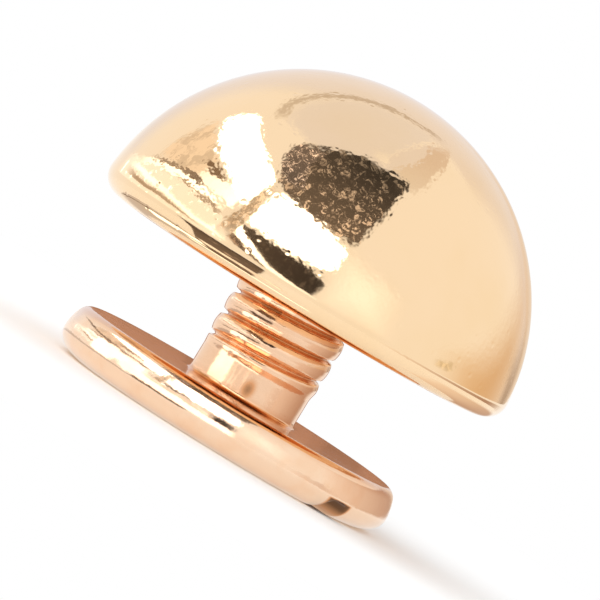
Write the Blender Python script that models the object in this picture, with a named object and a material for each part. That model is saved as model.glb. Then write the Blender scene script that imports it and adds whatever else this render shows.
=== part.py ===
"""Mushroom rivet: a domed cap that screws onto a slotted screw with a flat round head.

The leather, strap or cloth is held in the gap between the cap's flat underside
and the screw's round head. Both pieces share the Z axis. The screw's head rests
on Z = 0 with its slot facing down, and the cap sits above it with its dome up.

Lengths below are written in millimetres and turned into metres by MM.
"""

import math

import bmesh
import bpy
from mathutils import Vector

MM = 0.001

# Domed cap
DOME_DIAMETER = 11.0 * MM  # of the ball that the dome is part of
CAP_HEIGHT = 5.57 * MM
CAP_RIM_FILLET = 0.5 * MM
CROWN_WALL = 1.05 * MM  # metal left between the end of the hole and the top
HOLE_COUNTERSINK = 0.2 * MM
DRILL_POINT_ANGLE = math.radians(118)

# Round head of the screw
HEAD_DIAMETER = 8.9 * MM
HEAD_THICKNESS = 1.2 * MM
HEAD_TOP_FILLET = 0.45 * MM
HEAD_BOTTOM_FILLET = 0.72 * MM
SLOT_WIDTH = 1.0 * MM
SLOT_DEPTH = 0.45 * MM
SLOT_FLOOR_FILLET = 0.3 * MM
MOST_OF_SLOT = 0.45  # share of the slot's width that each floor fillet may take

# Neck and thread of the screw
SHANK_LENGTH = 4.0 * MM  # from the head's top face to the tip
NECK_DIAMETER = 2.85 * MM
NECK_LENGTH = 0.7 * MM
NECK_FILLET = 0.12 * MM
THREAD_DIAMETER = 2.96 * MM  # over the crests
THREAD_DEPTH = 0.25 * MM
THREAD_PITCH = 0.57 * MM
THREAD_RUN_OUT = 0.4 * MM  # over which the groove fades into the neck
GROOVE_HEIGHT = 0.06 * MM  # of the groove's first crossing with +X, above the head
TIP_CHAMFER = 0.3 * MM

# How the two pieces stand to each other
LEATHER_GAP = 2.6 * MM  # between the head's top face and the cap's underside
THREAD_CLEARANCE = 0.05 * MM  # between the crests and the wall of the cap's hole

# Fineness of the surfaces
CAP_SEGMENTS = 64
SCREW_SEGMENTS = 60
DOME_STEPS = 18
FILLET_STEPS = 5
ROWS_PER_PITCH = 6
WELD_DISTANCE = 0.001 * MM

# Plated finishes
CAP_GOLD = (0.92, 0.68, 0.40)
SCREW_GOLD = (0.90, 0.56, 0.34)
CAP_ROUGHNESS = 0.12
SCREW_ROUGHNESS = 0.2


def clear_objects():
    """Start from an empty scene."""
    for old in list(bpy.data.objects):
        bpy.data.objects.remove(old, do_unlink=True)


def arc(centre, radius, start, end, steps):
    """Points (r, z) along a circular arc, both ends included; angles in radians from +r."""
    points = []
    for step in range(steps + 1):
        angle = start + (end - start) * step / steps
        points.append((
            centre[0] + radius * math.cos(angle),
            centre[1] + radius * math.sin(angle),
        ))
    return points


def turned(profile, segments):
    """Revolve an (r, z) profile, whose first end lies on the axis."""
    turning = bmesh.new()
    corners = [turning.verts.new((radius, 0, height)) for radius, height in profile]
    edges = [turning.edges.new(pair) for pair in zip(corners, corners[1:])]
    bmesh.ops.spin(
        turning,
        geom=corners + edges,
        cent=(0, 0, 0),
        axis=(0, 0, 1),
        angle=math.tau,
        steps=segments,
        use_merge=True,
    )
    return turning


def close_surface(shape):
    """Weld points that coincide, at the axis and along seams, and face outwards."""
    bmesh.ops.remove_doubles(shape, verts=shape.verts, dist=WELD_DISTANCE)
    bmesh.ops.recalc_face_normals(shape, faces=shape.faces)


def plated_metal(name, colour, roughness):
    """A metallic Principled material."""
    material = bpy.data.materials.new(name)
    material.use_nodes = True
    shader = material.node_tree.nodes["Principled BSDF"]
    shader.inputs["Base Color"].default_value = (*colour, 1)
    shader.inputs["Metallic"].default_value = 1
    shader.inputs["Roughness"].default_value = roughness
    material.diffuse_color = (*colour, 1)
    return material


def add_piece(name, shape, material, parent, height=0.0):
    """Turn a bmesh into a smooth-shaded object whose origin is on the rivet's axis."""
    mesh = bpy.data.meshes.new(name)
    shape.to_mesh(mesh)
    shape.free()
    mesh.materials.append(material)
    mesh.shade_smooth()
    mesh.set_sharp_from_angle(angle=math.radians(30))
    piece = bpy.data.objects.new(name, mesh)
    piece.parent = parent
    piece.location.z = height
    bpy.context.collection.objects.link(piece)
    return piece


def cap_profile():
    """Half section of the cap, from the top of the dome, round the rim, to the hole's end.

    The dome is part of a ball. The rim fillet touches the ball from inside and the
    flat underside, which lies on z = 0. The hole clears the screw's crests, and a
    drill's cone closes it.
    """
    ball_radius = DOME_DIAMETER / 2
    ball_height = CAP_HEIGHT - ball_radius
    fillet_rise = CAP_RIM_FILLET - ball_height
    fillet_reach = math.sqrt((ball_radius - CAP_RIM_FILLET) ** 2 - fillet_rise**2)
    touch_angle = math.atan2(fillet_rise, fillet_reach)
    dome = arc((0, ball_height), ball_radius, math.pi / 2, touch_angle, DOME_STEPS)
    rim = arc((fillet_reach, CAP_RIM_FILLET), CAP_RIM_FILLET, touch_angle, -math.pi / 2,
              FILLET_STEPS)

    hole_radius = THREAD_DIAMETER / 2 + THREAD_CLEARANCE
    cone_height = hole_radius / math.tan(DRILL_POINT_ANGLE / 2)
    cone_tip = CAP_HEIGHT - CROWN_WALL
    hole = [
        (hole_radius + HOLE_COUNTERSINK, 0),
        (hole_radius, HOLE_COUNTERSINK),
        (hole_radius, cone_tip - cone_height),
        (0, cone_tip),
    ]
    return dome + rim[1:] + hole


def head_profile():
    """Half section of the head and neck, from the middle of the foot to the thread's start.

    The head is a thick washer with two different rim fillets, and a small concave
    fillet leads into the neck.
    """
    head_radius = HEAD_DIAMETER / 2
    neck_radius = NECK_DIAMETER / 2
    bottom_rim = arc((head_radius - HEAD_BOTTOM_FILLET, HEAD_BOTTOM_FILLET),
                     HEAD_BOTTOM_FILLET, -math.pi / 2, 0, FILLET_STEPS)
    top_rim = arc((head_radius - HEAD_TOP_FILLET, HEAD_THICKNESS - HEAD_TOP_FILLET),
                  HEAD_TOP_FILLET, 0, math.pi / 2, FILLET_STEPS)
    neck_foot = arc((neck_radius + NECK_FILLET, HEAD_THICKNESS + NECK_FILLET),
                    NECK_FILLET, -math.pi / 2, -math.pi, FILLET_STEPS)
    neck_end = (neck_radius, HEAD_THICKNESS + NECK_LENGTH)
    return [(0, 0)] + bottom_rim + top_rim + neck_foot + [neck_end]


def thread_radius(turn, height):
    """Radius of the threaded shank, at a turn about the axis and a height above the head.

    One right-hand groove climbs by the pitch in each turn. Its section is a squared
    raised cosine, so the groove is narrow and the crests are broad and soft. Groove
    and crests fade in above the neck, and a 45 degree cone chamfers the tip.
    """
    phase = (height - GROOVE_HEIGHT) / THREAD_PITCH - turn
    groove = ((1 + math.cos(math.tau * phase)) / 2) ** 2
    crest_radius = THREAD_DIAMETER / 2
    threaded = crest_radius - THREAD_DEPTH * groove

    above_neck = min(max((height - NECK_LENGTH) / THREAD_RUN_OUT, 0), 1)
    fade = above_neck**2 * (3 - 2 * above_neck)
    neck_radius = NECK_DIAMETER / 2
    radius = neck_radius + fade * (threaded - neck_radius)

    chamfer = crest_radius - TIP_CHAMFER + SHANK_LENGTH - height
    return min(radius, chamfer)


def add_thread(shape):
    """Wind the shank's surface from the end of the neck to the tip.

    Each row of points climbs with the groove, so that the row that ends one turn
    runs into the row a pitch above it. Rows stop at the neck's end and at the tip,
    where the points that pile up are welded to two level rings.
    """
    row_rise = THREAD_PITCH / ROWS_PER_PITCH
    turns_to_neck = math.floor((NECK_LENGTH - GROOVE_HEIGHT) / THREAD_PITCH)
    lowest = GROOVE_HEIGHT + (turns_to_neck - 1) * THREAD_PITCH
    rows = math.ceil((SHANK_LENGTH - lowest) / row_rise) + 1

    columns = []
    for segment in range(SCREW_SEGMENTS):
        turn = segment / SCREW_SEGMENTS
        column = []
        for row in range(rows + 1):
            climbed = lowest + row * row_rise + turn * THREAD_PITCH
            height = min(max(climbed, NECK_LENGTH), SHANK_LENGTH)
            radius = thread_radius(turn, height)
            column.append(shape.verts.new((
                radius * math.cos(turn * math.tau),
                radius * math.sin(turn * math.tau),
                HEAD_THICKNESS + height,
            )))
        columns.append(column)

    for segment, column in enumerate(columns):
        last = segment == SCREW_SEGMENTS - 1
        beside = columns[0][ROWS_PER_PITCH:] if last else columns[segment + 1]
        for row in range(min(len(column), len(beside)) - 1):
            shape.faces.new((column[row], beside[row], beside[row + 1], column[row + 1]))
    shape.faces.new([column[-1] for column in columns])


def slot_cutter(parent):
    """A bar along X that is longer than the head, with its two upper edges rounded."""
    margin = 1.0 * MM
    bar = bmesh.new()
    bmesh.ops.create_cube(bar, size=1)
    size = Vector((HEAD_DIAMETER + 2 * margin, SLOT_WIDTH, SLOT_DEPTH + margin))
    bmesh.ops.scale(bar, vec=size, verts=bar.verts)
    bmesh.ops.translate(bar, vec=(0, 0, SLOT_DEPTH - size.z / 2), verts=bar.verts)
    long_upper_edges = [
        edge for edge in bar.edges
        if all(corner.co.z > 0 for corner in edge.verts)
        and edge.verts[0].co.y * edge.verts[1].co.y > 0
        and edge.verts[0].co.x * edge.verts[1].co.x < 0
    ]
    bmesh.ops.bevel(
        bar,
        geom=long_upper_edges,
        offset=min(SLOT_FLOOR_FILLET, MOST_OF_SLOT * SLOT_WIDTH),
        segments=FILLET_STEPS,
        profile=0.5,
        affect="EDGES",
    )
    mesh = bpy.data.meshes.new("slot_cutter")
    bar.to_mesh(mesh)
    bar.free()
    cutter = bpy.data.objects.new("slot_cutter", mesh)
    cutter.parent = parent
    cutter.hide_render = True
    cutter.display_type = "WIRE"
    bpy.context.collection.objects.link(cutter)
    return cutter


def make_screw(parent):
    """Turn the head and neck, wind the thread onto them and cut the slot."""
    shape = turned(head_profile(), SCREW_SEGMENTS)
    add_thread(shape)
    close_surface(shape)
    gold = plated_metal("screw_gold", SCREW_GOLD, SCREW_ROUGHNESS)
    screw = add_piece("slotted_screw", shape, gold, parent)
    slot = screw.modifiers.new("slot", "BOOLEAN")
    slot.operation = "DIFFERENCE"
    slot.solver = "EXACT"
    slot.object = slot_cutter(parent)
    return screw


def make_cap(parent):
    """Turn the domed cap, with its blind hole, at the height where it grips the leather."""
    gold = plated_metal("cap_gold", CAP_GOLD, CAP_ROUGHNESS)
    shape = turned(cap_profile(), CAP_SEGMENTS)
    close_surface(shape)
    return add_piece("domed_cap", shape, gold, parent, HEAD_THICKNESS + LEATHER_GAP)


def make_rivet():
    """Both pieces on one axis."""
    axis = bpy.data.objects.new("rivet_axis", None)
    bpy.context.collection.objects.link(axis)
    make_screw(axis)
    make_cap(axis)


clear_objects()
make_rivet()
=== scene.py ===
# %% [markdown]
# # A gold mushroom rivet, dressed for its photograph
# A mushroom rivet is leather hardware in two pieces. A slotted screw with a flat round head
# goes through a punched hole from behind, and a domed cap screws onto it from the front.
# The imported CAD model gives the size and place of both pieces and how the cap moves. This
# script keeps that frame and builds the finished surfaces around it: a mirror dome with a
# rounded rim and a tapped hole, and a screw with a crowned head, a slot and a real thread.

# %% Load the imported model
import math

import bpy
import numpy as np
from mathutils import Matrix, Vector


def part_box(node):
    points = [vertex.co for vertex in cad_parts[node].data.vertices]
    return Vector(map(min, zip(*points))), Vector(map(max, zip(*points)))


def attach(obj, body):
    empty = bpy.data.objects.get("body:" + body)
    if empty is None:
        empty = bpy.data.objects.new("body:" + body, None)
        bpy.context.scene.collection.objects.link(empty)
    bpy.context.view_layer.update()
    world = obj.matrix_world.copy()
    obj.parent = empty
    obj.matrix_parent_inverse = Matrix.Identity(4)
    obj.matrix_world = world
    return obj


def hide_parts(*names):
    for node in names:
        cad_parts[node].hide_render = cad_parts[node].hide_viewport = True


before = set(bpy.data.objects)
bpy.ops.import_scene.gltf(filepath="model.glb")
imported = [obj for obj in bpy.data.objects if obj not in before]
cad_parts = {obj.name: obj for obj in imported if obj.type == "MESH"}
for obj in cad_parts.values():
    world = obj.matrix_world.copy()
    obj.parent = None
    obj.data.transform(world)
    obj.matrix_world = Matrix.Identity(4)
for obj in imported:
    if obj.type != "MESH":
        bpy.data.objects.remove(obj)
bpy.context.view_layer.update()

MM = 0.001
cap_floor, cap_top = (corner.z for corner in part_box("domed_cap"))

# %% [markdown]
# ## The camera
# The photograph looks almost level at the rivet, from 2.6 degrees above, and the rivet leans
# 31 degrees to the right in it. Tilting the rivet would take it off its foot, so the camera
# rolls instead. A long lens from 40 cm away keeps the dome's edge as round as the photograph
# shows it. Azimuth 42 degrees brings the end of the screw's slot to the right side of the head.

# %% Place the camera
VIEW_AZIMUTH = math.radians(42)
VIEW_ELEVATION = math.radians(2.6)
VIEW_ROLL = math.radians(31.4)
VIEW_DISTANCE = 400 * MM
VIEW_WIDTH = 14.2 * MM
VIEW_CENTRE = Vector((0, 0, 3.9 * MM))

image_right = np.array([math.cos(VIEW_AZIMUTH), math.sin(VIEW_AZIMUTH), 0])
image_away = np.array([-math.sin(VIEW_AZIMUTH), math.cos(VIEW_AZIMUTH), 0])
towards_camera = Vector(-image_away * math.cos(VIEW_ELEVATION))
towards_camera.z = math.sin(VIEW_ELEVATION)

camera = bpy.data.objects.new("camera", bpy.data.cameras.new("camera"))
bpy.context.scene.collection.objects.link(camera)
camera.data.lens = camera.data.sensor_width * VIEW_DISTANCE / VIEW_WIDTH
camera.data.clip_start = 10 * MM
camera.data.clip_end = 5.0
level_view = (-towards_camera).to_track_quat("-Z", "Y").to_matrix().to_4x4()
camera.matrix_world = (Matrix.Translation(VIEW_CENTRE + towards_camera * VIEW_DISTANCE)
                       @ level_view @ Matrix.Rotation(VIEW_ROLL, 4, "Z"))
bpy.context.scene.camera = camera
print("lens in mm:", round(camera.data.lens))

# %% [markdown]
# ## A shorthand for materials
# A finish is a small graph of nodes. Writing each node with its settings and its inputs on one
# line keeps a graph readable. An input is either a plain value or the output of another node.

# %% Add nodes in one line each
def add_node(tree, kind, inputs=None, **settings):
    """Add a node of a kind, set its properties, then fill or link its input sockets."""
    node = tree.nodes.new("ShaderNode" + kind)
    for name, value in settings.items():
        setattr(node, name, value)
    for name, value in (inputs or {}).items():
        if isinstance(value, bpy.types.NodeSocket):
            tree.links.new(value, node.inputs[name])
        else:
            node.inputs[name].default_value = value
    return node


def new_material(name):
    """A material with an empty graph and its output node."""
    material = bpy.data.materials.new(name)
    material.use_nodes = True
    material.node_tree.nodes.clear()
    return material, material.node_tree, add_node(material.node_tree, "OutputMaterial")


# %% [markdown]
# ## The room
# The photograph has a pure white background. Polished metal shows nothing but its room, so
# the room decides how the rivet looks. A white world of strength 1 returns each plated colour
# as it is written, and it is also the background that the camera sees.

# %% White world
world = bpy.data.worlds.new("white_room")
world.use_nodes = True
world.node_tree.nodes["Background"].inputs["Color"].default_value = (1, 1, 1, 1)
world.node_tree.nodes["Background"].inputs["Strength"].default_value = 1.0
bpy.context.scene.world = world
bpy.context.scene.view_settings.view_transform = "Standard"

# %% [markdown]
# ## The floor
# The rivet stands on a pale matt floor, which keeps its soft shadow. Seen this flat, a floor
# ends in a horizon that would cross the picture at a slant. So away from the rivet the floor
# fades into plain white, for the camera and in reflections, where it meets the white world.
# Close by, reflections see it half white: there it glows with a painted light that has no
# shadow in it, which keeps the foot of the head as light as the photograph shows it. It lies
# two thousandths of a millimetre under the foot, because two flat faces in the same plane
# would show through each other.

# %% Floor disc with a shadow near the rivet
FLOOR_RADIUS = 3.0
FLOOR_HEIGHT = -0.002 * MM
FLOOR_WHITE = 0.92
SHADOW_REACH = (8 * MM, 30 * MM)
MIRRORED_WHITE = 0.55  # share of plain white where metal mirrors the floor near the rivet


def turned_points(radii, heights, angles):
    """Points of a profile turned round Z: the array [ring, column, xyz].

    x = radius cos(angle), y = radius sin(angle). The radii and heights have one value for each
    ring, or one for each ring and column.
    """
    radii, heights = np.asarray(radii, float), np.asarray(heights, float)
    radii = radii[:, None] if radii.ndim == 1 else radii
    heights = heights[:, None] if heights.ndim == 1 else heights
    radii, heights, angles = np.broadcast_arrays(radii, heights, angles[None, :])
    return np.stack([radii * np.cos(angles), radii * np.sin(angles), heights], axis=-1)


def mesh_object(name, points, faces):
    """A smooth-shaded mesh object from an array of points and a list of faces."""
    mesh = bpy.data.meshes.new(name)
    mesh.from_pydata(points.reshape(-1, 3), [], faces)
    mesh.shade_smooth()
    mesh.validate()
    mesh.update()
    piece = bpy.data.objects.new(name, mesh)
    bpy.context.scene.collection.objects.link(piece)
    return piece


floor_angles = np.linspace(0, math.tau, 96, endpoint=False)
floor = mesh_object("floor", turned_points([FLOOR_RADIUS], [FLOOR_HEIGHT], floor_angles),
                    [list(range(96))])
floor_finish, tree, output = new_material("pale_floor")
here = add_node(tree, "TexCoord").outputs["Object"]
distance = add_node(tree, "VectorMath", {0: here}, operation="LENGTH").outputs["Value"]
fade = add_node(tree, "MapRange", {"Value": distance, "From Min": SHADOW_REACH[0],
                                   "From Max": SHADOW_REACH[1]},
                interpolation_type="SMOOTHSTEP").outputs["Result"]
path = add_node(tree, "LightPath").outputs
mirrored = add_node(tree, "Math", {0: path["Is Glossy Ray"], 1: path["Is Transmission Ray"]})
# Painted light: near the rivet the floor glows plain white for reflections, at least this share,
# so the metal mirrors it without its shadow.
bright = add_node(tree, "Math", {0: fade, 1: MIRRORED_WHITE}, operation="MAXIMUM")
bright = add_node(tree, "Math", {0: bright.outputs[0], 1: mirrored.outputs[0]},
                  operation="MULTIPLY")
seen = add_node(tree, "Math", {0: fade, 1: path["Is Camera Ray"]}, operation="MULTIPLY")
share = add_node(tree, "Math", {0: bright.outputs[0], 1: seen.outputs[0]}, use_clamp=True)
matt = add_node(tree, "BsdfDiffuse", {"Color": (FLOOR_WHITE, FLOOR_WHITE, FLOOR_WHITE, 1)})
white = add_node(tree, "Emission", {"Color": (1, 1, 1, 1), "Strength": 1.0})
mix = add_node(tree, "MixShader", {0: share.outputs[0], 1: matt.outputs[0],
                                   2: white.outputs[0]})
tree.links.new(mix.outputs[0], output.inputs["Surface"])
floor.data.materials.append(floor_finish)
print("floor radius in m:", FLOOR_RADIUS)

# %% [markdown]
# ## Softboxes and flags
# The dome is a mirror, so the photograph shows the studio in it: two softboxes at the front
# left, a dark area above them, and dark gaps below. A reflected spot on a ball tells the
# direction that its light came from, so each card here is a patch between two edges of such
# directions, on a large ball round the rivet. Cards show in reflections only, and they glow by
# themselves. The softboxes also light the floor, which gives the shadow its direction.
# Lamps could do that too, but a lamp can't be dark, and half of these shapes are.

# %% A card from a grid of points
CARD_STATIONS = 48
CARD_CROSSINGS = 13


def between(first_edge, second_edge):
    """Fill the patch between two edges, each a list of corners with three numbers.

    Each number is interpolated by itself: evenly from corner to corner along the edges, and
    by the share across, 0 to 1, from the first edge to the second. Gives one array for each
    number.
    """
    station = np.linspace(0, 1, CARD_STATIONS)
    across = np.linspace(0, 1, CARD_CROSSINGS)[:, None]
    edges = []
    for edge in (first_edge, second_edge):
        corners = np.array(edge, float)
        place = np.linspace(0, 1, len(corners))
        edges.append([np.interp(station, place, corners[:, axis]) for axis in range(3)])
    return [(1 - across) * edges[0][axis] + across * edges[1][axis] for axis in range(3)]


def point_values(piece, name, values):
    """Store one number for each point of a mesh, for its material to read."""
    attribute = piece.data.attributes.new(name, "FLOAT", "POINT")
    attribute.data.foreach_set("value", values.astype(np.float32).ravel())


def card(name, points, colour, far_colour=None, softness=0.08, flecks=None, lights=False):
    """A glowing card on a grid of points, seen in reflections only.

    The colour runs from one end to the other. The card fades in from its border over the
    softness, a share of its size, or one share along the card and one across it. The flecks
    are (size, brightness added, share of the noise below which there are none).
    """
    row, column = np.meshgrid(np.arange(CARD_CROSSINGS - 1), np.arange(CARD_STATIONS - 1),
                              indexing="ij")
    corner = row * CARD_STATIONS + column
    faces = np.stack([corner, corner + 1, corner + CARD_STATIONS + 1,
                      corner + CARD_STATIONS], axis=-1).reshape(-1, 4)
    piece = mesh_object(name, points, faces.tolist())
    station = np.linspace(0, 1, CARD_STATIONS)[None, :] + np.zeros((CARD_CROSSINGS, 1))
    across = np.linspace(0, 1, CARD_CROSSINGS)[:, None]
    along_fade, across_fade = np.maximum(np.broadcast_to(softness, 2), 0.001)
    point_values(piece, "along", station)
    point_values(piece, "inside", 2 * np.minimum(np.minimum(across, 1 - across) / across_fade,
                                                 np.minimum(station, 1 - station) / along_fade))

    finish, tree, output = new_material(name)
    inside = add_node(tree, "Attribute", attribute_name="inside").outputs["Fac"]
    cover = add_node(tree, "MapRange", {"Value": inside},
                     interpolation_type="SMOOTHSTEP").outputs["Result"]
    along = add_node(tree, "Attribute", attribute_name="along").outputs["Fac"]
    tone = add_node(tree, "MixRGB", {"Fac": along, "Color1": (*colour, 1),
                                     "Color2": (*(far_colour or colour), 1)})
    glow = add_node(tree, "Emission", {"Color": tone.outputs[0], "Strength": 1.0})
    if flecks:
        size, brightness, threshold = flecks
        noise = add_node(tree, "TexNoise", {
            "Vector": add_node(tree, "TexCoord").outputs["Object"], "Scale": 1 / size,
            "Detail": 2.0}).outputs["Fac"]
        fleck = add_node(tree, "MapRange", {"Value": noise, "From Min": threshold,
                                            "From Max": threshold + 0.1, "To Min": 1.0,
                                            "To Max": 1.0 + brightness})
        tree.links.new(fleck.outputs["Result"], glow.inputs["Strength"])
    clear = add_node(tree, "BsdfTransparent")
    mix = add_node(tree, "MixShader", {0: cover, 1: clear.outputs[0], 2: glow.outputs[0]})
    tree.links.new(mix.outputs[0], output.inputs["Surface"])
    piece.data.materials.append(finish)
    piece.visible_camera = False
    piece.visible_shadow = False
    piece.visible_diffuse = lights


# %% Cards far away and cards near the floor
def level_direction(azimuth):
    """Unit vectors for an azimuth in degrees, from the camera to the right."""
    azimuth = np.radians(azimuth)[..., None]
    return np.sin(azimuth) * image_right - np.cos(azimuth) * image_away


def far_card(name, first_edge, second_edge, colour, reach=250, **settings):
    """A card on a ball round the dome. Corners are (azimuth, elevation) in degrees, and the
    reach of the ball is in mm.

    A point is reach (cos elevation level direction + sin elevation Z) from the dome's centre.
    """
    edges = [[(*corner, reach) for corner in edge] for edge in (first_edge, second_edge)]
    azimuth, elevation, distance = between(*edges)
    elevation = np.radians(elevation)
    points = (distance * np.cos(elevation))[..., None] * level_direction(azimuth)
    points[..., 2] = distance * np.sin(elevation) + cap_floor / MM
    card(name, points * MM, colour, **settings)


def near_card(name, first_edge, second_edge, colour, **settings):
    """A card near the rivet. Corners are (azimuth in degrees, distance from the axis in mm,
    height above the floor in mm)."""
    azimuth, distance, height = between(first_edge, second_edge)
    points = distance[..., None] * level_direction(azimuth)
    points[..., 2] = height
    card(name, points * MM, colour, **settings)


# %% [markdown]
# The corners below are directions, measured from where each shape is reflected on the dome in
# the photograph. Brightness 1 is the white of the room, 3 is a lamp that clips to pure white
# on gold, and the dark ones are the unlit parts of the studio. The largest is brown and full
# of light flecks at its lower end.

# %% Hang the softboxes and the dark cards
WHITE_LAMP = (3.2, 3.2, 3.2)
far_card("softbox_left",
         [(-121, 32), (-110, 31.5), (-95, 30), (-75, 29), (-62, 26), (-52.5, 24.5)],
         [(-120, 41.5), (-112, 44.5), (-95, 46), (-78, 46.5), (-62, 45), (-51.5, 42.5)],
         WHITE_LAMP, lights=True)
far_card("softbox_front",
         [(-46, 20), (-35, 20.3), (-20, 20), (-8, 19.5), (2, 20), (9, 23)],
         [(-46, 39.5), (-35, 41.5), (-20, 41.8), (-8, 40), (2, 38), (10.5, 34.5)],
         WHITE_LAMP, lights=True)
far_card("dark_studio",
         [(-46, 40.5), (-58, 46), (-68, 50), (-77, 55), (-80, 61), (-80, 67), (-77, 73),
          (-72, 80), (-66, 87)],
         [(14, 39), (16.5, 44), (18.5, 50), (23, 55), (28, 60.5), (34, 66), (42, 72),
          (86, 78), (60, 87)],
         (0.18, 0.15, 0.13), far_colour=(0.032, 0.030, 0.028), reach=260, softness=0.1,
         flecks=(10 * MM, 6.5, 0.565))
far_card("fraying_edge",
         [(-48, 43.5), (-60, 47), (-72, 51), (-82, 56), (-84, 64)],
         [(-36, 47), (-42, 53), (-50, 58), (-58, 63), (-66, 70)],
         (0.13, 0.115, 0.115), far_colour=(0.20, 0.17, 0.16), reach=258, softness=0.3,
         flecks=(7 * MM, 8.5, 0.56))
far_card("dark_gap",
         [(-46, 16.5), (-38, 14), (-30, 12), (-24, 9.6), (-16, 7.8), (-6, 6.8), (4, 6.6)],
         [(-45, 18), (-38, 18.6), (-30, 19.3), (-24, 19.5), (-16, 19.2), (-6, 18.7), (9, 16)],
         (0.11, 0.085, 0.07), far_colour=(0.045, 0.038, 0.035), reach=255,
         flecks=(9 * MM, 3.0, 0.6))
far_card("gap_between_lamps",
         [(-52.5, 43), (-52.5, 36), (-53, 28), (-54, 21), (-57, 13), (-58, 8)],
         [(-47, 43), (-47, 36), (-46, 28), (-46, 21), (-46, 15), (-45, 9)],
         (0.62, 0.55, 0.47), far_colour=(0.40, 0.32, 0.26), reach=249, softness=0.5,
         flecks=(10 * MM, 1.3, 0.5))
far_card("bright_slit",
         [(-48, 13.4), (-38, 10.9), (-30, 8.7), (-22, 5.8), (-10, 4.6), (8, 4.4)],
         [(-47, 16.6), (-38, 14.2), (-30, 11.9), (-22, 8.8), (-10, 7.2), (8, 6.8)],
         (3.4, 3.4, 3.4), far_colour=(1.15, 1.15, 1.15), reach=250, softness=0.06)
far_card("shade_under_slit",
         [(-50, 9.7), (-38, 8.3), (-30, 6.6), (-22, 5.2)],
         [(-48, 13.2), (-38, 11.0), (-30, 8.8), (-22, 6.2)],
         (0.16, 0.12, 0.10), reach=256, softness=0.1, flecks=(8 * MM, 3.0, 0.55))
far_card("left_streak",
         [(-90, 20.5), (-78, 20), (-66, 19.6), (-55, 19.6)],
         [(-90, 23), (-78, 25.5), (-66, 28.5), (-55, 28.5)],
         (1.4, 1.4, 1.4), far_colour=(2.4, 2.4, 2.4), reach=252, softness=0.25)
far_card("left_shade",
         [(-124, 11), (-110, 13.5), (-97, 16.5), (-86, 18)],
         [(-122, 31), (-110, 31), (-97, 30), (-80, 29)],
         (0.78, 0.70, 0.62), reach=262, softness=0.25, flecks=(25 * MM, 0.3, 0.45))
far_card("left_spot",
         [(-95, 23.5), (-88, 24), (-80, 25), (-70, 26)],
         [(-95, 26), (-88, 28.5), (-80, 28), (-70, 27.5)],
         (0.25, 0.18, 0.13), reach=251, softness=0.5)
far_card("cream_band",
         [(-150, -0.5), (-120, -0.5), (-90, -0.5), (-60, 0), (-46, 5)],
         [(-150, 3), (-120, 9), (-90, 16), (-60, 17), (-46, 9)],
         (1.2, 1.2, 1.22), reach=258, softness=0.2, flecks=(12 * MM, 1.5, 0.62))
far_card("left_line_white",
         [(-135, 4.5), (-120, 8.4), (-105, 12.5), (-90, 15.8), (-75, 16.8), (-58, 16.8)],
         [(-135, 6.5), (-120, 10.6), (-105, 14.7), (-90, 17.8), (-75, 18.8), (-58, 18.8)],
         (1.6, 1.6, 1.6), far_colour=(2.6, 2.6, 2.6), reach=254, softness=0.3)
far_card("left_line_dark",
         [(-128, 8.4), (-110, 13.0), (-97, 16.4), (-88, 17.9), (-76, 18.2)],
         [(-128, 9.6), (-110, 14.8), (-97, 18.4), (-88, 20.6), (-76, 19.8)],
         (0.5, 0.42, 0.36), far_colour=(0.2, 0.15, 0.12), reach=253, softness=0.4)
far_card("left_line_brown",
         [(-100, 13.6), (-86, 14.8), (-70, 14.8), (-57, 14.2)],
         [(-100, 14.8), (-86, 16.4), (-70, 16.4), (-57, 16.0)],
         (0.55, 0.47, 0.40), far_colour=(0.4, 0.32, 0.26), reach=253, softness=0.4)
far_card("left_line_bright_low",
         [(-140, 3.0), (-120, 5.2), (-90, 6.6), (-60, 7.0), (-45, 6.6)],
         [(-140, 4.2), (-120, 7.0), (-90, 8.6), (-60, 9.0), (-45, 8.2)],
         (2.0, 2.0, 2.0), reach=252, softness=0.4)
far_card("left_line_low",
         [(-140, 2.0), (-110, 3.4), (-90, 4.6), (-60, 4.6)],
         [(-140, 3.2), (-110, 5.2), (-90, 6.4), (-60, 6.2)],
         (0.5, 0.40, 0.32), reach=253, softness=0.4)
far_card("front_glow",
         [(2, 2), (16, 2), (34, 2), (54, 6)],
         [(2, 38), (16, 40), (34, 36), (54, 24)],
         (1.3, 1.3, 1.32), reach=265, softness=1.0)
far_card("warm_corner",
         [(72, -14), (100, -16), (135, -18), (172, -18)],
         [(72, 14), (100, 20), (135, 26), (172, 22)],
         (0.92, 0.76, 0.56), far_colour=(0.62, 0.38, 0.20), reach=200, softness=1.0)
far_card("small_mark",
         [(77, 6.5), (82, 5), (88, 5), (93, 7)],
         [(77, 8.5), (82, 9.5), (88, 10), (93, 8.5)],
         (0.72, 0.64, 0.5), reach=198, softness=0.8, flecks=(6 * MM, 0.4, 0.5))
far_card("beige_end",
         [(152, -6), (160, -8), (170, -8), (179, -6)],
         [(152, 14), (160, 18), (170, 20), (179, 16)],
         (0.85, 0.73, 0.61), reach=240, softness=0.6)
far_card("dim_end",
         [(140, -10), (148, -12), (156, -12), (164, -10)],
         [(140, 9), (148, 11), (156, 11), (164, 8)],
         (0.50, 0.40, 0.32), reach=199, softness=1.0)

# %% [markdown]
# Behind the rivet the paper backdrop turns up and over, a little greyer than the floor. Its
# edge draws the thin dark arc that follows the top of the dome in the photograph. At a flat
# angle even gold turns white, so this grey also keeps the dome's outline off the background.

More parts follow.
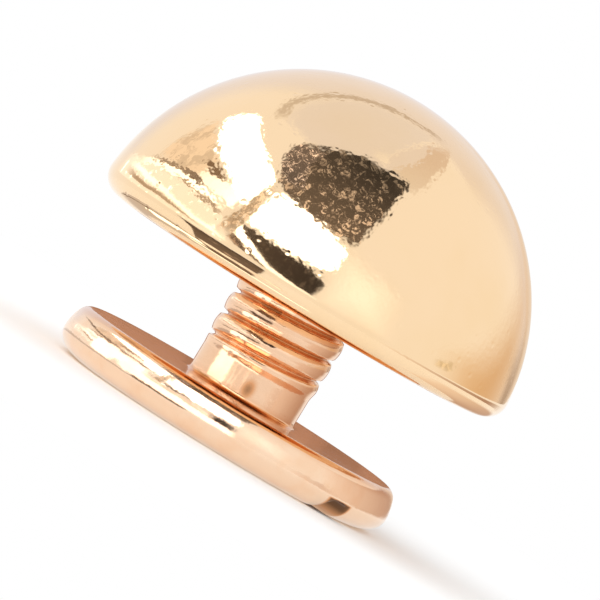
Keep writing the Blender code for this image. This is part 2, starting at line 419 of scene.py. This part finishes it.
# %% Hang the backdrop and the ceiling
ceiling_edge = [(-192, 42), (-180, 45), (-150, 46), (-130, 46), (-110, 50), (-85, 60), (-40, 72),
                (0, 76), (30, 76), (60, 75), (90, 74), (115, 71.5), (130, 68.5), (140, 64.5),
                (150, 59), (160, 51), (168, 42)]
ceiling_top = [(azimuth, 89.9) for azimuth, elevation in ceiling_edge]
far_card("ceiling", ceiling_edge, ceiling_top, (0.87, 0.88, 0.95),
         far_colour=(0.86, 0.85, 0.90), reach=290, softness=(0.01, 0.35))
far_card("ceiling_seam",
         [(azimuth, elevation - 2) for azimuth, elevation in ceiling_edge[:5]],
         [(azimuth, elevation + 4) for azimuth, elevation in ceiling_edge[:5]],
         (0.56, 0.50, 0.46), far_colour=(0.72, 0.68, 0.64), reach=280, softness=(0.3, 0.8))
far_card("ceiling_shade",
         [(azimuth, elevation - 1) for azimuth, elevation in ceiling_edge[9:]],
         [(azimuth, elevation + 14) for azimuth, elevation in ceiling_edge[9:]],
         (0.84, 0.80, 0.76), far_colour=(0.76, 0.66, 0.60), reach=282, softness=(0.25, 0.35))
far_card("backdrop",
         [(azimuth, -0.8) for azimuth in range(-222, -132, 6)],
         [(azimuth, 52) for azimuth in range(-222, -132, 6)],
         (0.89, 0.86, 0.86), far_colour=(0.88, 0.90, 1.0), reach=285, softness=(0.45, 0.2))

# %% [markdown]
# Close to the rivet stand a few small cards. Bright ones at the left and in front give the
# shank and the head's rim their white streaks, and a thin dark frame draws the line between
# two streaks. A grey and a dark one lie on the floor; they are painted shadow, the floor's
# shadow as the metal mirrors it, and a pale one keeps the dark one out of the shank. Two warm
# ones stand at the right, and a brown one behind the gap, with a darker line along it, is the
# shade between the two pieces, which the head's top face shows. They all stand clear of the
# rivet, at least 6 mm from its axis.

# %% Set up the near cards
near_card("low_reflector",
          [(-81, 7, 0.4), (-74, 7, 0.35), (-64, 7, 0.3), (-60, 7, 0.9), (-50, 7, 0.9),
           (-40, 7, 0.9)],
          [(-81, 7, 1.5), (-74, 7, 1.8), (-64, 7, 1.9), (-60, 7, 1.9), (-50, 7, 1.9),
           (-40, 7, 1.9)],
          (2.3, 2.25, 2.2), softness=(0.2, 0.08))
# Painted shadow: a grey card on the floor that darkens the reflection of the floor beside the
# head.
near_card("left_floor_shadow",
          [(-135, 6, 0.03), (-100, 6, 0.03), (-70, 6, 0.03), (-40, 6, 0.03)],
          [(-135, 11, 0.03), (-100, 11, 0.03), (-70, 10, 0.03), (-40, 8, 0.03)],
          (0.66, 0.62, 0.62), softness=(0.4, 0.2))
near_card("reflector_frame",
          [(-112, 6.9, 1.9), (-80, 6.9, 1.88), (-50, 6.9, 1.9), (-36, 6.9, 1.95)],
          [(-112, 6.9, 2.12), (-80, 6.9, 2.05), (-50, 6.9, 2.12), (-36, 6.9, 2.1)],
          (0.2, 0.15, 0.12), softness=0.3)
near_card("line_of_light",
          [(-56, 6.6, 0.46), (-36, 6.6, 0.44), (-15, 6.6, 0.43), (7, 6.6, 0.42)],
          [(-56, 6.6, 1.10), (-36, 6.6, 1.06), (-15, 6.6, 1.02), (7, 6.6, 0.985)],
          (2.1, 2.05, 2.0), softness=0.12)
near_card("neck_flag",
          [(-48, 8, 0.75), (-34, 8, 0.75), (-20, 8, 0.75), (-4, 8, 0.75)],
          [(-48, 8, 1.7), (-34, 8, 1.75), (-20, 8, 2.0), (-4, 8, 2.3)],
          (1.02, 0.96, 0.91), softness=(0.2, 0.08), flecks=(0.7 * MM, 0.35, 0.5))
near_card("warm_wall",
          [(48, 6.6, 0.2), (75, 6.6, 0.2), (100, 6.6, 0.2), (135, 6.6, 0.2)],
          [(48, 6.6, 3.4), (75, 6.6, 3.4), (100, 6.6, 3.4), (135, 6.6, 3.4)],
          (1.0, 0.90, 0.83), far_colour=(0.50, 0.31, 0.21), softness=(0.35, 0.25))
# Painted shadow: a dark sheet on the floor, seen only in reflections, standing in for the shaded
# floor.
near_card("floor_shadow_card",
          [(-50, 6.4, 0.05), (-58, 15, 0.05), (-68, 30, 0.05), (-78, 70, 0.05),
           (-78, 70, 0.5)],
          [(-20, 6.4, 0.05), (-19, 15, 0.05), (-20, 30, 0.05), (-21, 70, 0.05),
           (-21, 70, 2.0)],
          (0.22, 0.17, 0.14), far_colour=(0.05, 0.042, 0.038), softness=0.06,
          flecks=(3 * MM, 2.0, 0.6))
near_card("shade_behind",
          [(157, 12, 0.1), (157, 12, 3.2)],
          [(204, 12, 0.1), (204, 12, 3.2)],
          (0.44, 0.215, 0.12), far_colour=(0.38, 0.19, 0.105), softness=0.06,
          flecks=(1.6 * MM, 0.35, 0.45))
# Painted shade: a thin dark line, the far edge of the shade between the two pieces.
near_card("shade_line_behind",
          [(158, 11.8, 1.42), (180, 11.8, 1.42), (203, 11.8, 1.42)],
          [(158, 11.8, 1.62), (180, 11.8, 1.60), (203, 11.8, 1.62)],
          (0.2, 0.10, 0.065), softness=0.5)
near_card("warm_side",
          [(38, 24, -0.4), (66, 24, -0.4), (90, 24, -0.4), (150, 24, -0.4)],
          [(38, 24, 2.9), (66, 24, 2.9), (90, 24, 2.9), (150, 24, 2.9)],
          (1.04, 0.99, 0.96), far_colour=(0.36, 0.19, 0.11), softness=0.35)

# %% [markdown]
# ## The domed cap
# The real cap is a solid casting, ground and polished, then plated. Its dome is part of a
# ball, its rim is rounded by half a millimetre, and a blind hole in its flat underside is
# tapped for the screw. It could be turned with a Screw modifier, but the tapped hole is not a
# turned shape, so the whole skin is worked out here as one stack of rings: up to the end of
# the hole, down its wall, out over the underside, round the rim and over the dome.

# %% Sizes of the cap
DOME_RADIUS = 5.5 * MM
CAP_HEIGHT = cap_top - cap_floor
RIM_FILLET = 0.5 * MM
HOLE_RADIUS = 1.53 * MM
MOUTH_RADIUS = 1.73 * MM
MOUTH_DEPTH = 0.2 * MM
HOLE_END = 4.52 * MM
DRILL_HALF_ANGLE = math.radians(59)
TAP_RUN_OUT = (3.1 * MM, 3.5 * MM)  # over which the ridges fade out, from the underside
BUFFED_HEIGHT = (0.7 * MM, 1.3 * MM)  # over which the buffed zone ends, from the underside
THREAD_PITCH = 0.57 * MM
THREAD_DEPTH = 0.2 * MM
CAP_COLUMNS = 256
LAST_CONE_RING = 0.06 * MM  # radius, just before the pole at the end of the hole
LAST_DOME_RING = 0.01  # angle in radians from the pole at the top

# %% [markdown]
# Screw and cap share one right-hand groove. Measured as a phase, the groove's middle lies
# where the phase is whole, and the phase grows by one over each pitch of height and falls by
# one over each turn. The groove is narrow with a flat floor and steep soft walls, and the
# crest between two turns is broad and slightly domed, as rolling and plating leave it. Both
# pieces use the same phase, so their threads mesh.

# %% One groove for both threads
GROOVE_START = 1.26 * MM  # height of the groove's middle over +X, in its first turn
GROOVE_WALL = (0.03, 0.13)  # from the groove's middle to each end of its wall, in pitches
CREST_DOMING = 0.34  # share of the thread's depth that the domed crest takes


def smooth_step(start, end, values):
    """0 before the start, 1 after the end, and a smooth rise between them."""
    share = np.clip((values - start) / (end - start), 0, 1)
    return share**2 * (3 - 2 * share)


def groove_share(angles, heights):
    """1 on the floor of the groove, 0 on top of the crest, for any angle and height.

    The distance to the groove's middle, 0 to 0.5 pitches, gives the walls by a smooth step
    and the doming of the crest by a square.
    """
    phase = (heights - GROOVE_START) / THREAD_PITCH - angles / math.tau
    distance = np.abs(phase - np.round(phase))
    walls = 1 - smooth_step(*GROOVE_WALL, distance)
    doming = (1 - 2 * distance) ** 2
    return (1 - CREST_DOMING) * walls + CREST_DOMING * doming


def arc(centre, radius, first, last, steps):
    """Radii and heights of points on a circular arc, angles in radians from outwards."""
    angles = np.linspace(first, last, steps)
    return centre[0] + radius * np.cos(angles), centre[1] + radius * np.sin(angles)


def stacked(*lengths):
    """Join pieces of a profile, each (radii, heights), into one pair of arrays."""
    return [np.concatenate([np.atleast_1d(piece[axis]) for piece in lengths])
            for axis in (0, 1)]


# %% Profile of the cap, from the end of the hole to the top of the dome
cone_height = HOLE_RADIUS / math.tan(DRILL_HALF_ANGLE)
cone = (np.linspace(LAST_CONE_RING, HOLE_RADIUS, 7),
        np.linspace(HOLE_END, HOLE_END - cone_height, 7))
bore_heights = np.linspace(HOLE_END - cone_height, MOUTH_DEPTH, 136)[1:]
bore = np.full_like(bore_heights, HOLE_RADIUS), bore_heights
mouth = np.linspace(HOLE_RADIUS, MOUTH_RADIUS, 5)[1:], np.linspace(MOUTH_DEPTH, 0, 5)[1:]

ball_height = CAP_HEIGHT - DOME_RADIUS
fillet_rise = RIM_FILLET - ball_height
fillet_reach = math.sqrt((DOME_RADIUS - RIM_FILLET) ** 2 - fillet_rise**2)
touch_angle = math.atan2(fillet_rise, fillet_reach)
underside_radii = np.linspace(MOUTH_RADIUS, fillet_reach, 9)[1:-1]
underside = underside_radii, np.zeros_like(underside_radii)
rim = arc((fillet_reach, RIM_FILLET), RIM_FILLET, -math.pi / 2, touch_angle, 18)
dome = arc((0, ball_height), DOME_RADIUS, touch_angle, math.pi / 2 - LAST_DOME_RING, 84)
cap_radii, cap_heights = stacked(cone, bore, mouth, underside, rim, [dome[0][1:], dome[1][1:]])

# %% [markdown]
# In the bore the radius also depends on the angle: the tap leaves ridges that stand inwards
# where the screw has its groove. They fade in above the countersunk mouth and fade out before
# the drilled end, which a tap doesn't reach.

# %% Tap the hole
cap_angles = np.linspace(0, math.tau, CAP_COLUMNS, endpoint=False)
ridge = groove_share(cap_angles[None, :], cap_heights[:, None] + cap_floor)
tapped = (smooth_step(MOUTH_DEPTH, 2.4 * MOUTH_DEPTH, cap_heights)
          * (1 - smooth_step(*TAP_RUN_OUT, cap_heights)))
in_bore = np.isclose(cap_radii, HOLE_RADIUS) * tapped
cap_rings = turned_points(cap_radii[:, None] - THREAD_DEPTH * in_bore[:, None] * ridge,
                          cap_heights + cap_floor, cap_angles)
print("rings and columns of the cap:", cap_rings.shape[:2])

# %% [markdown]
# A closed skin needs its two ends closed too. Each end is a fan of triangles round one pole,
# and the faces in between join each ring to the next, wrapping round at the last column. The
# lowest millimetre of the dome is buffed smoother than the rest, because the photograph shows
# sharp thin lines there, so each point also gets a number that says how well it is buffed.

# %% Skin over rings, closed with a pole at each end
def ring_faces(rings, columns, start=0):
    """Four-sided faces between neighbouring rings of points, which wrap round."""
    ring, column = np.meshgrid(np.arange(rings - 1), np.arange(columns), indexing="ij")
    here = start + ring * columns + column
    beside = start + ring * columns + (column + 1) % columns
    return np.stack([here, beside, beside + columns, here + columns], -1).reshape(-1, 4)


def pole_faces(pole, ring_start, columns, ring_before_pole):
    """Triangles between a ring and a pole, turned so that they face as the rings do."""
    here = ring_start + np.arange(columns)
    beside = ring_start + (np.arange(columns) + 1) % columns
    order = [here, beside] if ring_before_pole else [beside, here]
    return np.stack([*order, np.full(columns, pole)], -1)


ring_count = len(cap_rings)
last_ring = (ring_count - 1) * CAP_COLUMNS
poles = np.array([[0, 0, cap_floor + HOLE_END], [0, 0, cap_top]])
cap_points = np.concatenate([cap_rings.reshape(-1, 3), poles])
cap_faces = (ring_faces(ring_count, CAP_COLUMNS).tolist()
             + pole_faces(len(cap_points) - 2, 0, CAP_COLUMNS, False).tolist()
             + pole_faces(len(cap_points) - 1, last_ring, CAP_COLUMNS, True).tolist())
cap = mesh_object("mirror_dome_cap", cap_points, cap_faces)
point_values(cap, "buffed", 1 - smooth_step(*BUFFED_HEIGHT, cap_points[:, 2] - cap_floor))
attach(cap, "cap")
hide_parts("domed_cap")
print("cap faces:", len(cap.data.polygons))

# %% [markdown]
# ## The slotted screw
# The screw is turned from brass wire: a flat head whose rim is crowned, a short plain neck and
# a rolled thread that fades into it. A slot for a coin or a screwdriver crosses the foot. A
# Boolean could cut the slot, but it leaves ragged triangles beside hard edges. Here the foot
# is a sheet of its own, with rows that run along the slot, and the rest is a stack of rings.
# Both share the points of one ring round the middle of the rim.

# %% Sizes of the screw
HEAD_RADIUS = 4.45 * MM
HEAD_TOP = 1.2 * MM
RIM_MIDDLE = 0.5 * MM  # height of the widest ring
FOOT_ROUNDING = 0.7 * MM  # width of the rounding under the widest ring
CROWN_RADIUS = 1.3 * MM
CROWN_LEAN = math.radians(22)
NECK_RADIUS = 1.425 * MM
NECK_FILLET = 0.12 * MM
THREAD_START = 1.9 * MM
RUN_OUT = 0.4 * MM
THREAD_RADIUS = 1.48 * MM
TIP_HEIGHT = 5.2 * MM
TIP_CHAMFER = 0.3 * MM
LAST_TIP_RING = 0.1 * MM  # radius, just before the pole in the middle of the tip
SLOT_HALF_WIDTH = 0.44 * MM
SLOT_DEPTH = 0.47 * MM

# %% [markdown]
# The slot needs close rows at its two walls, and the ring must have a column for each end of
# each row. So the rows come first: their angles are a fifth of a degree apart near the walls,
# and four to eight times as far apart elsewhere. A row at angle a lies at y = radius times
# sin a and meets the ring at the angles a and 180 degrees minus a.

# %% Rows of the foot and columns of the rings
row_degrees = np.concatenate([np.linspace(-90, -8.5, 50)[:-1], np.linspace(-8.5, -4.5, 20)[:-1],
                              np.linspace(-4.5, 4.5, 12), np.linspace(4.5, 8.5, 20)[1:],
                              np.linspace(8.5, 90, 50)[1:]])
row_angles = np.radians(row_degrees)
screw_angles = np.concatenate([row_angles, math.pi - row_angles[-2:0:-1]])
screw_columns = len(screw_angles)
print("columns of the screw:", screw_columns)

# %% [markdown]
# The rim is crowned: from its widest ring it leans in on a 1.3 mm radius, then turns over to
# the top face on a tighter one. That long curve is what draws the two wavy bright lines along
# the rim in the photograph.

# %% Profile of the screw above its widest ring
crown = arc((HEAD_RADIUS - CROWN_RADIUS, RIM_MIDDLE), CROWN_RADIUS, 0, CROWN_LEAN, 16)
edge_radius = (HEAD_TOP - crown[1][-1]) / (1 - math.sin(CROWN_LEAN))
print("radius at the edge of the top face in mm:", round(edge_radius / MM, 2))
edge_centre = (crown[0][-1] - edge_radius * math.cos(CROWN_LEAN), HEAD_TOP - edge_radius)
edge = arc(edge_centre, edge_radius, CROWN_LEAN, math.pi / 2, 12)
face_radii = np.linspace(edge[0][-1], NECK_RADIUS + NECK_FILLET, 12)[1:-1]
face = face_radii, np.full_like(face_radii, HEAD_TOP)
neck_foot = arc((NECK_RADIUS + NECK_FILLET, HEAD_TOP + NECK_FILLET), NECK_FILLET,
                -math.pi / 2, -math.pi, 7)
neck_heights = np.linspace(HEAD_TOP + NECK_FILLET, THREAD_START, 8)[1:-1]
neck = np.full_like(neck_heights, NECK_RADIUS), neck_heights
thread_heights = np.linspace(THREAD_START, TIP_HEIGHT, 140)
thread = np.full_like(thread_heights, THREAD_RADIUS), thread_heights
tip_radii = np.linspace(THREAD_RADIUS - TIP_CHAMFER, LAST_TIP_RING, 6)[1:]
tip = tip_radii, np.full_like(tip_radii, TIP_HEIGHT)
screw_radii, screw_heights = stacked(crown, [edge[0][1:], edge[1][1:]], face, neck_foot, neck,
                                     thread, tip)

# %% Wind the thread
wound = smooth_step(THREAD_START, THREAD_START + RUN_OUT, screw_heights)[:, None]
groove = THREAD_DEPTH * groove_share(screw_angles[None, :], screw_heights[:, None])
shank_radii = NECK_RADIUS + wound * (THREAD_RADIUS - groove - NECK_RADIUS)
chamfer_radii = THREAD_RADIUS - TIP_CHAMFER + TIP_HEIGHT - screw_heights[:, None]
on_thread = (screw_heights[:, None] >= THREAD_START) & (
    screw_radii[:, None] > THREAD_RADIUS - TIP_CHAMFER / 2)
ring_radii = np.where(on_thread, np.minimum(shank_radii, chamfer_radii), screw_radii[:, None])
screw_rings = turned_points(ring_radii, screw_heights, screw_angles)
print("turns of the thread:", round((TIP_HEIGHT - THREAD_START) / THREAD_PITCH, 1))

# %% [markdown]
# The foot is a height above each point of a disc. Under the rim it is a quarter of an ellipse,
# and inside it is flat. The slot's cross section is a steep arch of the fourth power, so its
# walls stand steep and its floor is round. The foot is the higher of the two, and the
# change between them is softened over 0.05 mm, as plating softens the edge of a slot.

# %% Foot and slot as one sheet
SLOT_EDGE = 0.05 * MM
ARCH_POWER = 4


def foot_height(x, y):
    """Height of the foot: the softened higher one of the rounded foot and the slot's arch."""
    rounding = np.clip((np.hypot(x, y) - HEAD_RADIUS + FOOT_ROUNDING) / FOOT_ROUNDING, 0, 1)
    foot = RIM_MIDDLE * (1 - np.sqrt(1 - rounding**2))
    arch = SLOT_DEPTH * (1 - np.abs(y / SLOT_HALF_WIDTH) ** ARCH_POWER)
    near = np.clip(SLOT_EDGE - np.abs(foot - arch), 0, None)
    return np.minimum(np.maximum(foot, arch) + near**2 / (4 * SLOT_EDGE), RIM_MIDDLE)


across = np.sin(np.radians(np.linspace(-90, 90, 91)))
rows = len(row_angles) - 1
inner_y = HEAD_RADIUS * np.sin(row_angles[1:-1])[:, None]
inner_x = HEAD_RADIUS * np.cos(row_angles[1:-1])[:, None] * across[None, 1:-1]
inner_y = np.broadcast_to(inner_y, inner_x.shape)
foot_points = np.stack([inner_x, inner_y, foot_height(inner_x, inner_y)], axis=-1)
print("depth of the slot in mm:", round(float(foot_height(0, 0)) / MM, 2))

# %% [markdown]
# The sheet's border uses the points of the widest ring: its right end is the column of the
# same number as the row, its left end the column counted back from the last. The first and
# last row have shrunk to one point each, so the faces there are triangles.

# %% Number the sheet's points and join them
ring_points = screw_rings.reshape(-1, 3)
numbers = np.zeros((rows + 1, len(across)), int)
numbers[1:-1, 1:-1] = len(ring_points) + np.arange(inner_x.size).reshape(inner_x.shape)
numbers[:, -1] = np.arange(rows + 1)
numbers[1:-1, 0] = screw_columns - np.arange(1, rows)
numbers[0, :] = 0
numbers[-1, :] = rows
inner_faces = np.stack([numbers[1:-2, :-1], numbers[2:-1, :-1], numbers[2:-1, 1:],
                        numbers[1:-2, 1:]], axis=-1).reshape(-1, 4)
first_faces = np.stack([numbers[0, :-1], numbers[1, :-1], numbers[1, 1:]], axis=-1)
last_faces = np.stack([numbers[-2, :-1], numbers[-1, :-1], numbers[-2, 1:]], axis=-1)

tip_pole = np.array([[0, 0, TIP_HEIGHT]])
screw_points = np.concatenate([ring_points, foot_points.reshape(-1, 3), tip_pole])
last_ring = (len(screw_rings) - 1) * screw_columns
screw_faces = (ring_faces(len(screw_rings), screw_columns).tolist()
               + pole_faces(len(screw_points) - 1, last_ring, screw_columns, True).tolist()
               + inner_faces.tolist() + first_faces.tolist() + last_faces.tolist())

# %% [markdown]
# Hand polishing leaves the head's rim a little uneven. Three rows of waves round the rim, up
# to five thousandths of a millimetre deep and always inwards, make the bright lines wander as
# they do in the photograph. They fade out towards the neck.

# %% Uneven rim
WAVE_DEPTH = 0.005 * MM
# Each row is (waves round the rim, shift in radians per mm of height, start, share of depth).
RIM_WAVES = ((23, 5.0, 0.3, 0.4), (47, -9.0, 1.9, 0.35), (83, 4.0, 4.4, 0.25))
screw_turn = np.arctan2(screw_points[:, 1], screw_points[:, 0])
screw_reach = np.hypot(screw_points[:, 0], screw_points[:, 1])
waves = sum(np.sin(count * screw_turn + screw_points[:, 2] / MM * rise + start) * size
            for count, rise, start, size in RIM_WAVES)
inwards = WAVE_DEPTH * (waves + 1) / 2 * smooth_step(3.2 * MM, HEAD_RADIUS, screw_reach)
screw_points[:, :2] *= (1 - inwards / np.maximum(screw_reach, 0.1 * MM))[:, None]

screw = mesh_object("slotted_head_screw", screw_points, screw_faces)
print("deepest wave in mm:", round(inwards.max() / MM, 4))

# %% [markdown]
# Shade is painted into the screw's colour here, darker and more orange in its corners and
# grooves. One number for each point says how much painted shade it gets: most inside the slot,
# where the colour is nearly brown, then in the thread's grooves, then on the top face near the
# neck, and a little all over the shank. The neck has one small brown spot in front, as in the
# photograph, a painted reflection of the dark part of the studio.

# %% Painted shade in the corners and a painted reflection on the neck
# Painted shade: how far each place's colour is darkened.
SLOT_SHADE = 2
GROOVE_SHADE = 1.25
TOP_FACE_SHADE = 0.85
SHANK_SHADE = 0.3
SPOT_SHADE = 1.6
SPOT_AZIMUTH = 2  # degrees from the camera to the right
SPOT_HEIGHT = 1.52 * MM
SPOT_WIDTH = np.array([0.17, 0.17, 0.26]) * MM  # along X, Y and Z

x, y, z = screw_points.T
in_groove = (smooth_step(CREST_DOMING, 1, groove_share(np.arctan2(y, x), z))
             * smooth_step(THREAD_START, THREAD_START + 2 * RUN_OUT, z))
on_top = smooth_step(0.95 * MM, HEAD_TOP, z) * (1 - smooth_step(HEAD_TOP, 1.45 * MM, z))
by_neck = on_top * (1 - 0.3 * smooth_step(NECK_RADIUS, HEAD_RADIUS, np.hypot(x, y)))
in_slot = (1 - smooth_step(0.75, 1.1, np.abs(y) / SLOT_HALF_WIDTH)) * (z < RIM_MIDDLE)
on_shank = smooth_step(1.25 * MM, 1.45 * MM, z)
# A painted reflection: the brown spot where the neck would mirror the dark part of the studio.
spot = NECK_RADIUS * level_direction(np.array(SPOT_AZIMUTH)) + [0, 0, SPOT_HEIGHT]
on_painted_reflection = np.exp(-(((screw_points - spot) / SPOT_WIDTH) ** 2).sum(axis=1))
painted_shade = np.maximum.reduce([SLOT_SHADE * in_slot, GROOVE_SHADE * in_groove,
                            TOP_FACE_SHADE * by_neck + SHANK_SHADE * on_shank,
                            SPOT_SHADE * on_painted_reflection])
point_values(screw, "painted_shade", painted_shade)
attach(screw, "screw")
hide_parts("slotted_screw")
print("screw faces:", len(screw.data.polygons))

# %% [markdown]
# ## Gold plating
# Plating is a thin bright skin over brass. On the dome it is a near mirror with a fine grain,
# like orange peel, about 0.16 mm wide. The grain can't be seen where the room
# is plain, but it breaks up the edge of every dark reflection into specks. A bump does this
# in three layers: a fine noise for the grain, a slow one for the gentle waves of hand
# polishing, and scattered pits, each a small dent in one cell of a Voronoi pattern. Roughness
# and colour vary slightly too, because plating is never quite even.

# %% Plated finish
def gold_plating(name, colour, warm_colour, painted_shade_colour, roughness, grain, waves, pits,
                 blotch_size):
    """A metal with patches of a warmer tone, and a bump made of grain, waves and pits.

    Where the points of the piece have a painted shade number, the painted shade colour takes
    over up to 1, and it gets four times darker from there to 2: shade painted into the colour.
    Where they are buffed, a quarter of the grain is left.
    The grain, the waves and the pits are each (size, height): the width of one bump, or the
    space between two pits, and how far it stands up. The roughness is (lowest, highest).
    """
    finish, tree, output = new_material(name)
    here = add_node(tree, "TexCoord").outputs["Object"]
    patches = add_node(tree, "TexNoise", {"Vector": here, "Scale": 1 / blotch_size,
                                          "Detail": 3.0, "Roughness": 0.55}).outputs["Fac"]
    tone = add_node(tree, "MapRange", {"Value": patches, "From Min": 0.4, "From Max": 0.7},
                    interpolation_type="SMOOTHSTEP").outputs["Result"]
    mixed = add_node(tree, "MixRGB", {"Fac": tone, "Color1": (*colour, 1),
                                      "Color2": (*warm_colour, 1)}).outputs["Color"]
    # Painted shade: the attribute darkens the colour towards the shade colour, and more beyond
    # 1.
    painted_shade = add_node(tree, "Attribute", attribute_name="painted_shade").outputs["Fac"]
    mixed = add_node(tree, "MixRGB", {"Fac": painted_shade, "Color1": mixed,
                                      "Color2": (*painted_shade_colour, 1)}).outputs["Color"]
    deep = add_node(tree, "Math", {0: painted_shade, 1: 1.0}, operation="SUBTRACT", use_clamp=True)
    mixed = add_node(tree, "MixRGB", {"Fac": deep.outputs[0], "Color1": mixed,
                                      "Color2": (*(value / 4 for value in painted_shade_colour), 1)},
                     ).outputs["Color"]
    gloss = add_node(tree, "MapRange", {"Value": patches, "From Min": 0.3, "From Max": 0.7,
                                        "To Min": roughness[0], "To Max": roughness[1]})
    slow = add_node(tree, "TexNoise", {"Vector": here, "Scale": 1 / waves[0],
                                       "Detail": 1.0}).outputs["Fac"]
    fine = add_node(tree, "TexNoise", {"Vector": here, "Scale": 1 / grain[0], "Detail": 1.0,
                                       "Roughness": 0.5}).outputs["Fac"]
    buffed = add_node(tree, "Attribute", attribute_name="buffed").outputs["Fac"]
    left = add_node(tree, "MapRange", {"Value": buffed, "To Min": 1.0, "To Max": 0.25})
    fine = add_node(tree, "Math", {0: fine, 1: left.outputs["Result"]},
                    operation="MULTIPLY").outputs[0]
    cells = add_node(tree, "TexVoronoi", {"Vector": here, "Scale": 1 / pits[0]})
    dent = add_node(tree, "MapRange", {"Value": cells.outputs["Distance"], "From Min": 0.0,
                                       "From Max": 0.24}, interpolation_type="SMOOTHSTEP")
    wavy = add_node(tree, "Bump", {"Height": slow, "Distance": waves[1], "Strength": 1.0})
    grainy = add_node(tree, "Bump", {"Height": fine, "Distance": grain[1], "Strength": 1.0,
                                     "Normal": wavy.outputs[0]})
    pitted = add_node(tree, "Bump", {"Height": dent.outputs[0], "Distance": pits[1],
                                     "Strength": 1.0, "Normal": grainy.outputs[0]})
    metal = add_node(tree, "BsdfPrincipled", {"Base Color": mixed, "Metallic": 1.0,
                                              "Roughness": gloss.outputs[0],
                                              "Normal": pitted.outputs[0]})
    tree.links.new(metal.outputs[0], output.inputs["Surface"])
    return finish


# The third colour of each finish is the colour of its painted shade.
cap.data.materials.append(gold_plating(
    "pale_gold_mirror", (0.97, 0.715, 0.45), (0.955, 0.695, 0.42), (0.93, 0.62, 0.33),
    (0.04, 0.07), grain=(0.16 * MM, 0.0034 * MM), waves=(1.3 * MM, 0.010 * MM),
    pits=(0.4 * MM, 0.003 * MM), blotch_size=2.5 * MM))
screw.data.materials.append(gold_plating(
    "rose_gold_plate", (0.965, 0.70, 0.495), (0.95, 0.645, 0.43), (0.74, 0.36, 0.17),
    (0.07, 0.14), grain=(0.12 * MM, 0.002 * MM), waves=(0.6 * MM, 0.006 * MM),
    pits=(0.5 * MM, 0.001 * MM), blotch_size=0.9 * MM))
print("finishes:", cap.data.materials[0].name, screw.data.materials[0].name)
